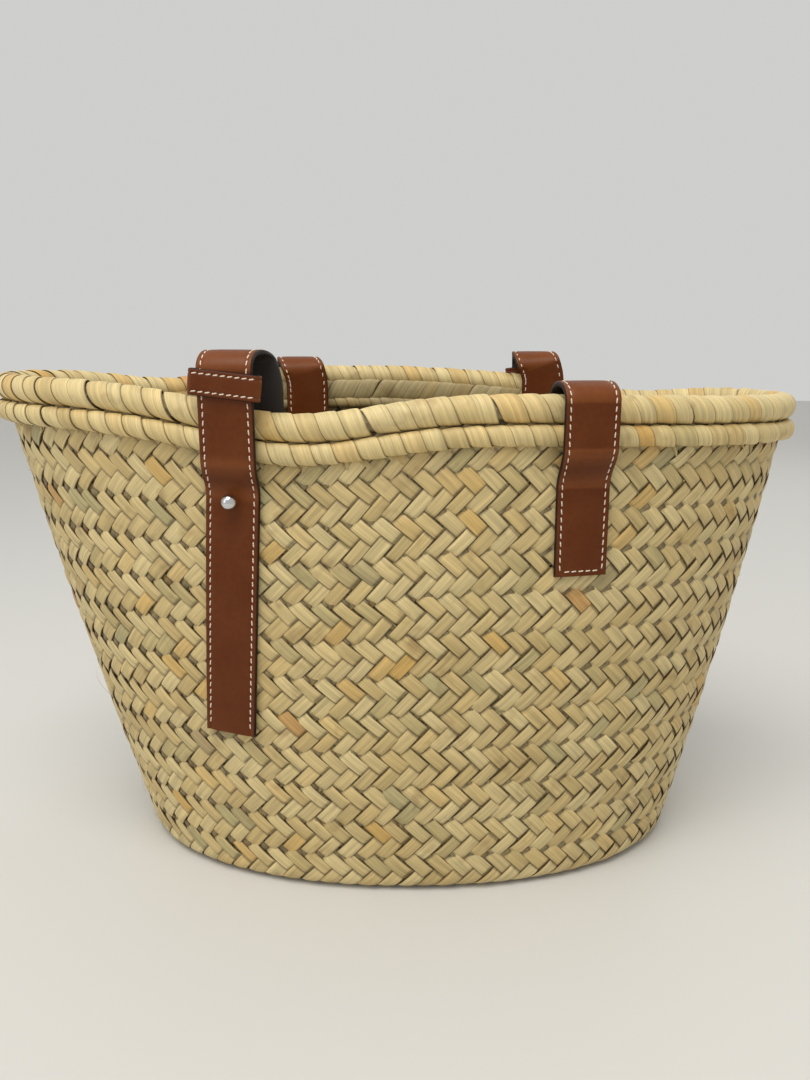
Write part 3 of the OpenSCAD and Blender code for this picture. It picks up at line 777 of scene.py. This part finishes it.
class Handle:
    # one handle, laid out as on the front; the back one is the same turned half a turn
    def __init__(self, side):
        self.side = side
        self.front = side == "front"
        self.sign = 1 if self.front else -1
        self.highX = self.sign * sum(c[0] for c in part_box(side + "_adjust_fold")) / 2
        self.lowX = self.sign * sum(c[0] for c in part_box(side + "_fixed_fold")) / 2
        self.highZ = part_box(side + "_adjust_fold")[1][2] - strap["foldRise"]
        self.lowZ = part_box(side + "_fixed_fold")[1][2] - strap["foldRise"]
        self.span = (self.lowX - self.highX) / 2
        self.midX = (self.lowX + self.highX) / 2
        self.rimY = float(ovalDepth(rimA, rimB, self.span))
        rise = ovalDepth(rimA, rimB, self.span - mm) - ovalDepth(rimA, rimB, self.span + mm)
        self.turn = math.atan2(rise, 2 * mm)
        self.slope = (self.lowZ - self.highZ) / (2 * self.span)
        self.legStart = basket["height"] - basket["dip"] - basket["tilt"]

    def top(self, x):
        return rimTop(self.sign * x, self.front)

    def world(self, points):
        return points * np.array([self.sign, self.sign, 1])

    def legPath(self, high, zs):
        # outer leg from the fold down: upright past the coils, then in to the wall and along it
        startX = self.highX if high else self.lowX
        side = -1 if high else 1
        leanFrom = self.top(startX) - coilFoot
        studZ = self.top(self.highX) - strap["studDrop"]
        x = np.full(len(zs), startX)
        if high:
            tailEnd = self.top(startX) - strap["tailLength"]
            x = x - strap["tailLean"] * np.maximum(0, leanFrom - zs) / (leanFrom - tailEnd)
        top = self.top(x)
        k = np.clip((top - coilFoot - zs) / (strap["studDrop"] - coilFoot - 1 * mm), 0, 1)
        k = k * k * (3 - 2 * k)

        def wallDepth(px, pz):
            share = pz / (self.top(px) - wallDrop)
            a, b, shift = wallAxes(share)
            return ovalDepth(a, b, self.sign * px - shift)
        zTurn = np.minimum(zs, studZ)
        share = zTurn / (top - wallDrop)
        a, b, shift = wallAxes(share)
        off = np.abs(self.sign * x - shift)
        wallTurn = np.abs(np.arctan2(ovalDepth(a, b, off - mm) - ovalDepth(a, b, off + mm), 2 * mm))
        angle = (1 - k) * self.turn + k * wallTurn
        out = np.stack([side * np.sin(angle), -np.cos(angle), 0 * angle], -1)
        freeOut = np.array([side * math.sin(self.turn), -math.cos(self.turn), 0])
        free = np.stack([x, 0 * x - self.rimY, zs], -1) + freeOut * strap["foldHalf"]
        laid = np.stack([x, -wallDepth(x, np.minimum(zs, studZ + 8 * mm)), zs], -1)
        laid = laid + out * (allowance + strap["leather"] + strap["lining"])
        return (1 - k)[:, None] * free + k[:, None] * laid, out

    def archPath(self, high, angles):
        # over the rim: angle 0 is the outside, pi the inside
        side = -1 if high else 1
        out = np.array([side * math.sin(self.turn), -math.cos(self.turn), 0])
        up = np.array([0, 0, 1])
        x, z = (self.highX, self.highZ) if high else (self.lowX, self.lowZ)
        centre = np.array([x, -self.rimY, z])
        cos, sin = np.cos(angles)[:, None], np.sin(angles)[:, None]
        points = centre + out * strap["foldHalf"] * cos + up * strap["foldRise"] * sin
        normals = out * cos / strap["foldHalf"] + up * sin / strap["foldRise"]
        return points, normals / np.linalg.norm(normals, axis=1)[:, None]

    def loopPath(self, v):
        cos, sin = np.cos(np.pi * v), np.sin(np.pi * v)
        y = -self.rimY + strap["foldHalf"] * math.cos(self.turn) + strap["loopIn"] * sin
        x = self.midX - self.span * cos + strap["foldHalf"] * math.sin(self.turn) * cos
        points = np.stack([x, y, self.legStart - strap["loopDrop"] * sin], -1)
        run = np.stack([self.span * sin, 0 * v, -strap["loopDrop"] * cos], -1)
        run = run / np.linalg.norm(run, axis=1)[:, None]
        angle = self.turn * (1 - 2 * v)
        roll = (np.pi / 2 * sin ** 2)[:, None]
        face = np.stack([np.sin(angle), np.cos(angle), 0 * v], -1) * np.cos(roll)
        face = face + np.sin(roll) * np.stack([run[:, 2], 0 * v, -run[:, 0]], -1)
        across = np.cross(run, face)
        across = across / np.linalg.norm(across, axis=1)[:, None]
        return points, np.cross(across, run)


def resample(points, normals, step):
    length = np.concatenate([[0], np.cumsum(np.linalg.norm(np.diff(points, axis=0), axis=1))])
    count = max(2, round(length[-1] / step))
    wanted = np.linspace(0, length[-1], count + 1)
    p = np.stack([np.interp(wanted, length, points[:, i]) for i in range(3)], -1)
    n = np.stack([np.interp(wanted, length, normals[:, i]) for i in range(3)], -1)
    return p, n / np.linalg.norm(n, axis=1)[:, None]


def frames(points, normals):
    run = np.gradient(points, axis=0)
    run = run / np.linalg.norm(run, axis=1)[:, None]
    across = np.cross(run, normals)
    across = across / np.linalg.norm(across, axis=1)[:, None]
    length = np.concatenate([[0], np.cumsum(np.linalg.norm(np.diff(points, axis=0), axis=1))])
    return run, across, np.cross(across, run), length


def strapSection():
    # half a section of the leather from its edge to its middle: place across, height
    half, t = strap["width"] / 2, strap["leather"]
    groove = half - strap["stitchInset"]
    side = [(half, -t), (half, -0.9 * mm), (half - 0.12 * mm, -0.5 * mm), (half - 0.4 * mm, -0.16 * mm),
            (half - 0.85 * mm, 0), (half - 1.6 * mm, 0.05 * mm), (groove + 0.8 * mm, -0.02 * mm),
            (groove + 0.4 * mm, -0.26 * mm), (groove, -0.36 * mm), (groove - 0.4 * mm, -0.26 * mm),
            (groove - 0.9 * mm, 0.0), (groove - 2.6 * mm, 0.12 * mm), (groove - 6.5 * mm, 0.2 * mm),
            (0, 0.22 * mm)]
    return np.array(side + [(-x, h) for x, h in side[-2::-1]])


def liningSection():
    half, t, u = strap["width"] / 2, strap["leather"], strap["leather"] + strap["lining"]
    side = [(half - 0.02 * mm, -t), (half - 0.02 * mm, -t - 0.45 * u / 3.2),
            (half - 0.35 * mm, -u + 0.12 * mm), (half - 0.9 * mm, -u), (half / 2, -u)]
    return np.array(side + [(-x, h) for x, h in side[::-1]])


def sweepStrap(name, handle, path, stitchEnds=(0, 0), crossRow=None, nodes=()):
    points, normals = path
    run, across, face, length = frames(points, normals)
    made = []
    # painted sheen: the leather is drawn paler where the strap curves
    curve = np.linalg.norm(np.gradient(face, axis=0), axis=1) / np.maximum(np.gradient(length), 1e-6)
    bend = np.clip(curve * 9 * mm, 0, 0.55)
    for part, section, finish, slotName in (("leather", strapSection(), leatherFinish, "tan_leather"),
                                            ("lining", liningSection(), liningFinish, "dark_lining")):
        x, h = section[:, 0], section[:, 1]
        block = points[:, None] + across[:, None] * x[None, :, None] + face[:, None] * h[None, :, None]
        shape = block.shape[:2]
        grain = np.stack([length[:, None] * np.ones(shape), x[None] * np.ones(shape),
                          h[None] * np.ones(shape)], -1)
        ink = np.clip((np.abs(x) - strap["width"] / 2 + 0.55 * mm) / (0.3 * mm), 0, 1)[None] * np.ones(shape)
        data = {"hideGrain": grain[None], "edgeInk": ink[None],
                "hideBendSheen": (bend[:, None] * np.ones(shape))[None]}
        ply = makeMesh(name + "_" + part, handle.world(block)[None], finish, data, sharpAngle=65)
        made.append((ply, slotName))
    stitches = []
    places = np.arange(stitchEnds[0] + strap["stitchPitch"] / 2, length[-1] - stitchEnds[1],
                       strap["stitchPitch"])
    inset = strap["width"] / 2 - strap["stitchInset"]
    for row in (-1, 1):
        for place in places:
            stitches.append(oneStitch(points, across, face, run, length, place, row * inset,
                                      0.10 * row, False))
    if crossRow is not None:
        for place in np.linspace(-inset, inset, 7)[1:-1]:
            stitches.append(oneStitch(points, across, face, run, length, crossRow, place, 0.10, True))
    made.append((makeStitches(name + "_thread", handle, stitches), None))
    for piece, slotName in made:
        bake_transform(piece)
    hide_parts(*nodes)


def oneStitch(points, across, face, run, length, place, offset, slant, crosswise):
    # one stitch of thread, its ends sunk into the leather
    def at(values):
        return np.array([np.interp(place, length, values[:, i]) for i in range(3)])
    p, a, n, t = at(points), at(across), at(face), at(run)
    along, other = (a, t) if crosswise else (t, a)
    u = np.linspace(-1, 1, 9)
    radius = strap["threadRadius"] * (1 - np.abs(u) ** 5) ** 0.5 + 1e-6
    # a row along the edge lies in its groove, a row across lies on the skin
    sink = (0.3 if crosswise else -0.08) * mm - 0.30 * mm * u ** 4
    ring = np.linspace(0, 2 * np.pi, 9)[:-1]
    reach = (u * strap["stitchLength"] / 2)[:, None]
    middle = p + a * offset + along * reach + other * slant * reach + n * sink[:, None]
    return (middle[:, None] + other * (np.cos(ring)[None, :, None] * radius[:, None, None])
            + n * (np.sin(ring)[None, :, None] * radius[:, None, None] * 0.8))


def makeStitches(name, handle, stitches):
    block = handle.world(np.array(stitches))
    runs = np.zeros(block.shape)
    runs[..., 0] = np.linspace(0, strap["stitchLength"], block.shape[1])[None, :, None]
    runs[..., 1] = np.linspace(0, 2 * strap["threadRadius"], block.shape[2])[None, None, :]
    return makeMesh(name, block, threadFinish, {"threadRun": runs})


def buildHandle(side):
    handle = Handle(side)
    step = 2.0 * mm
    fine = 0.7 * mm
    keeperMiddle = handle.highZ - 8 * mm
    foldUp = handle.world(np.array([-handle.slope, 0, 1]) / math.hypot(1, handle.slope))
    half = np.linspace(0, np.pi / 2, 60)
    # adjustable end, from inside the keeper to the top of its fold
    zs = np.arange(keeperMiddle, handle.highZ, fine)
    leg = handle.legPath(True, zs)
    arch = handle.archPath(True, half)
    path = resample(np.concatenate([leg[0], arch[0]]), np.concatenate([leg[1], arch[1]]), fine)
    sweepStrap(side + "_adjust_end", handle, path,
               nodes=(side + "_adjust_fold", side + "_adjust_fold_lining"))
    # tail below the keeper
    studZ = handle.top(handle.highX) - strap["studDrop"]
    zs = np.arange(keeperMiddle, handle.top(handle.highX) - strap["tailLength"], -fine)
    path = resample(*handle.legPath(True, zs), step)
    splitAt = handle.world(handle.legPath(True, np.array([studZ - 9 * mm]))[0][0])
    sweepStrap(side + "_tail_strap", handle, path,
               stitchEnds=(0, 2.5 * mm),
               nodes=(side + "_tail_upper", side + "_tail_upper_lining", side + "_tail",
                      side + "_tail_lining"))
    # fixed end, from its sewn foot to the top of its fold
    zs = np.arange(handle.top(handle.lowX) - strap["fixedLength"], handle.lowZ, fine)
    leg = handle.legPath(False, zs)
    arch = handle.archPath(False, half)
    path = resample(np.concatenate([leg[0], arch[0]]), np.concatenate([leg[1], arch[1]]), fine)
    sweepStrap(side + "_sewn_end", handle, path,
               stitchEnds=(3 * mm, 0), crossRow=3 * mm,
               nodes=(side + "_fixed_fold", side + "_fixed_fold_lining", side + "_fixed_end",
                      side + "_fixed_end_lining"))
    # handle, from the top of one fold through the hanging loop to the other
    first = handle.archPath(True, np.pi / 2 + half)
    last = handle.archPath(False, np.pi - half)
    loop = handle.loopPath(np.linspace(0, 1, 400))
    down = np.arange(handle.highZ - fine, handle.legStart, -fine)
    up = np.arange(handle.legStart + fine, handle.lowZ, fine)
    downPart = np.repeat(first[0][-1:], len(down), 0)
    downPart[:, 2] = down
    upPart = np.repeat(last[0][:1], len(up), 0)
    upPart[:, 2] = up
    points = np.concatenate([first[0], downPart, loop[0], upPart, last[0]])
    normals = np.concatenate([first[1], np.repeat(first[1][-1:], len(down), 0), loop[1],
                              np.repeat(last[1][:1], len(up), 0), last[1]])
    length = np.concatenate([[0], np.cumsum(np.linalg.norm(np.diff(points, axis=0), axis=1))])
    for run, shift, way in ((length, strap["skew"][side][0], -1),
                            (length[-1] - length, -strap["skew"][side][1], 1)):
        begin = np.clip(run / (34 * mm), 0, 1)
        fade = np.clip((length[-1] / 2 - run) / (length[-1] / 2 - 60 * mm), 0, 1)
        moved = shift * (begin ** 2 * (3 - 2 * begin)) * (fade ** 2 * (3 - 2 * fade))
        points[:, 0] += moved
        points[:, 1] += way * moved * math.tan(handle.turn)
    path = resample(points, normals, 1.6 * mm)
    sweepStrap(side + "_loop", handle, path,
               nodes=(side + "_handle_strap", side + "_handle_lining"))
    return handle


handles = [buildHandle("front"), buildHandle("back")]
print("handles laid over the rim")


# keepers and studs
keeper = {
    "width": 43 * mm,
    "height": 15 * mm,
    "front": 2.2 * mm,
    "back": 1.2 * mm,
    "play": 0.4 * mm,
    "stitches": 9,
    "tilt": 6,               # degrees, it has slid down a little crooked
}
stud = {
    "ball": 9.5 * mm,
    "neck": 1.8 * mm,
    "post": 4.0 * mm,
    "flange": 6.0 * mm,
    "washer": 16 * mm,
}


def roundedLoop(halfWidth, halfDepth, radius, steps=7):
    points = []
    for quarter, (sx, sy) in enumerate(((1, -1), (1, 1), (-1, 1), (-1, -1))):
        for i in range(steps):
            angle = math.radians(-90 + 90 * quarter + 90 * i / (steps - 1))
            points.append((sx * (halfWidth - radius) + radius * math.cos(angle),
                           sy * (halfDepth - radius) + radius * math.sin(angle)))
    return np.array(points)


def makeKeeper(handle):
    side = handle.side
    low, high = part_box(side + "_keeper")
    centre = handle.world((np.array(low) + np.array(high)) / 2)
    out = np.array([-math.sin(handle.turn), -math.cos(handle.turn), 0])
    level = np.array([math.cos(handle.turn), -math.sin(handle.turn), 0])
    tilt = math.radians(keeper["tilt"])
    wide = level * math.cos(tilt) + np.array([0, 0, -1]) * math.sin(tilt)
    up = level * math.sin(tilt) + np.array([0, 0, 1]) * math.cos(tilt)
    halfDepth = (keeper["front"] + keeper["back"] + 2 * keeper["play"] + strap["leather"]
                 + strap["lining"]) / 2
    outline = roundedLoop(keeper["width"] / 2, halfDepth, 3.4 * mm, 9)
    dense = np.concatenate([outline, outline[:1]])
    run = np.concatenate([[0], np.cumsum(np.linalg.norm(np.diff(dense, axis=0), axis=1))])
    wanted = np.linspace(0, run[-1], 121)[:-1]
    ox, oy = np.interp(wanted, run, dense[:, 0]), np.interp(wanted, run, dense[:, 1])
    tangent = np.stack([np.roll(ox, -1) - np.roll(ox, 1), np.roll(oy, -1) - np.roll(oy, 1)], -1)
    tangent = tangent / np.linalg.norm(tangent, axis=1)[:, None]
    normal = np.stack([tangent[:, 1], -tangent[:, 0]], -1)
    half, t = keeper["height"] / 2, 1.9 * mm
    groove = half - 2.4 * mm
    oneSide = [(half, -t), (half, -0.8 * mm), (half - 0.3 * mm, -0.2 * mm), (half - 0.8 * mm, 0),
               (groove + 0.5 * mm, 0), (groove, -0.3 * mm), (groove - 0.5 * mm, 0),
               (groove - 2 * mm, 0.12 * mm), (0, 0.16 * mm)]
    section = np.array(oneSide + [(-a, b) for a, b in oneSide[-2::-1]])
    block = np.zeros((len(ox), len(section), 3))
    for j, (rise, lift) in enumerate(section):
        px = ox + normal[:, 0] * lift
        py = oy + normal[:, 1] * lift
        block[:, j] = centre + wide * px[:, None] - out * py[:, None] + up * rise
    shape = block.shape[:2]
    grain = np.stack([wanted[:, None] * np.ones(shape), section[None, :, 0] * np.ones(shape),
                      section[None, :, 1] * np.ones(shape)], -1)
    ink = np.clip((np.abs(section[:, 0]) - half + 0.45 * mm) / (0.25 * mm), 0, 1)
    ink = np.maximum(ink, section[:, 1] < -1.5 * mm)[None] * np.ones(shape)
    # painted sheen at the keeper loop's rounded corners
    cornerSheen = np.clip((np.abs(ox) - keeper["width"] / 2 + 3.4 * mm) / (3.4 * mm), 0, 1) * 0.5
    body = makeMesh(side + "_keeper_loop", handle.world(block)[None], leatherFinish,
                    {"hideGrain": grain[None], "edgeInk": ink[None],
                     "hideBendSheen": (cornerSheen[:, None] * np.ones(shape))[None]}, sharpAngle=60, closedRun=True)
    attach(body, side + "_keeper")
    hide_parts(side + "_keeper")
    stitches = []
    faceY = -halfDepth
    for row in (-1, 1):
        for place in np.linspace(-keeper["width"] / 2 + 4.6 * mm, keeper["width"] / 2 - 4.6 * mm,
                                 keeper["stitches"]):
            p = centre + wide * place + out * -faceY + up * row * groove
            line = np.repeat(p[None], 2, 0) + wide * np.array([[-1 * mm], [1 * mm]])
            ones = np.ones((2, 1))
            stitches.append(oneStitch(line, ones * up, ones * out, ones * wide, np.array([-mm, mm]), 0.0, 0.0,
                                      0.22, False))
    thread = makeStitches(side + "_keeper_thread", handle, stitches)
    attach(thread, side + "_keeper")


def lathe(name, profile, place, axis, finish, around=48):
    # profile: radius and height pairs along the axis
    axis = axis / np.linalg.norm(axis)
    first = np.cross(axis, [0, 0, 1])
    first = first / np.linalg.norm(first)
    second = np.cross(axis, first)
    angle = np.linspace(0, 2 * np.pi, around + 1)[:-1]
    profile = np.array(profile)
    ring = first * np.cos(angle)[:, None] + second * np.sin(angle)[:, None]
    block = place + axis * profile[:, 1][:, None, None] + ring[None] * profile[:, 0][:, None, None]
    return makeMesh(name, block[None], finish, sharpAngle=40)


def makeStud(handle):
    side = handle.side
    studZ = handle.top(handle.highX) - strap["studDrop"]
    points, outs = handle.legPath(True, np.array([studZ]))
    place, axis = handle.world(points[0]), handle.world(outs[0])
    r, neck, post = stud["ball"] / 2, stud["neck"], stud["post"] / 2
    middle = neck + r - 1 * mm
    startAngle = math.asin(post / r)
    profile = [(0.02 * mm, -2 * mm), (post, -2 * mm), (post, 0), (stud["flange"] / 2 - 0.3 * mm, 0),
               (stud["flange"] / 2, 0.25 * mm), (stud["flange"] / 2, 0.5 * mm),
               (stud["flange"] / 2 - 0.35 * mm, 0.75 * mm), (post + 0.5 * mm, 0.85 * mm), (post, 1.3 * mm)]
    for i in range(41):
        angle = startAngle + (math.pi - startAngle) * i / 40
        profile.append((max(r * math.sin(angle), 0.01 * mm), middle - r * math.cos(angle)))
    ball = lathe(side + "_ball_stud", profile, place, axis, steelFinish, 64)
    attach(ball, "basket")
    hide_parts(side + "_stud")
    inside = allowance + strap["leather"] + strap["lining"] + 5 * mm
    screwBase = place - axis * (inside + 2 * mm)
    head = 4.5 * mm
    screw = lathe(side + "_screw_head", [
        (1.5 * mm, 6 * mm), (1.5 * mm, -2 * mm), (head - 0.3 * mm, -2 * mm), (head, -2.3 * mm),
        (head, -2.7 * mm), (head - 0.9 * mm, -3.2 * mm), (head - 2.4 * mm, -3.5 * mm), (1.3 * mm, -3.5 * mm),
        (1.2 * mm, -2.6 * mm), (0.02 * mm, -2.6 * mm)], screwBase + axis * 2 * mm, axis, steelFinish)
    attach(screw, "basket")
    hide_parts(side + "_stud_screw")
    w = stud["washer"] / 2
    washer = lathe(side + "_leather_washer", [
        (1.7 * mm, 0), (w - 0.4 * mm, 0), (w, -0.4 * mm), (w, -1.5 * mm), (w - 0.5 * mm, -2 * mm),
        (1.7 * mm, -2 * mm)], screwBase + axis * 2 * mm, axis, liningFinish)
    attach(washer, "basket")
    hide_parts(side + "_stud_washer")


for handle in handles:
    makeKeeper(handle)
    makeStud(handle)
print("keepers and studs fitted")
